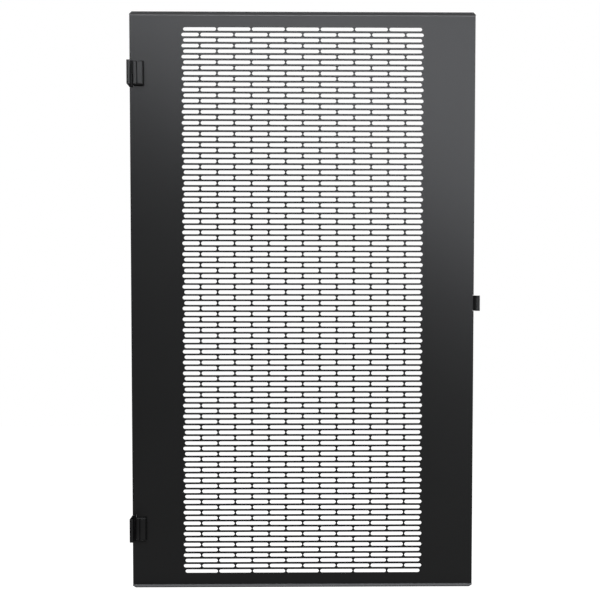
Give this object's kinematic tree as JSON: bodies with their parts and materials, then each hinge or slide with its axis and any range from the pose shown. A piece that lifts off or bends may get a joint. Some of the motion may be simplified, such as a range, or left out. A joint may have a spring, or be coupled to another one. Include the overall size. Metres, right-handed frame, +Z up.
{
  "type": "perforated rack door",
  "caption": "Flat steel rack door with staggered rows of long slots, folded top and bottom flanges, angle hinges on one edge and a strike tab on the other.",
  "frame": {"origin": "middle of the lower hinge's two fixing holes, on the face of the frame leaf that seats on the rack", "axes": "+Z up along the hinge edge, +X from the hinge edge to the free edge, +Y out of the rack; door closed"},
  "size_m": [0.5116, 0.02, 0.842],
  "materials": {
    "door_coat": "fine textured semi-gloss black powder coat",
    "hinge_coat": "fine textured semi-gloss black powder coat",
    "pin_steel": "blackened steel"
  },
  "bodies": {
    "frame_side": {"upper_frame_leaf": "hinge_coat", "upper_hinge_pin": "pin_steel", "lower_frame_leaf": "hinge_coat", "lower_hinge_pin": "pin_steel"},
    "door": {"door_panel": "door_coat", "upper_door_leaf": "hinge_coat", "lower_door_leaf": "hinge_coat"}
  },
  "joints": [
    {"name": "door_swing", "type": "hinge", "parent": "frame_side", "child": "door", "pos_m": [0.003, 0.0085, 0.332], "axis": [0, 0, 1], "range_deg": [0, 135]}
  ]
}
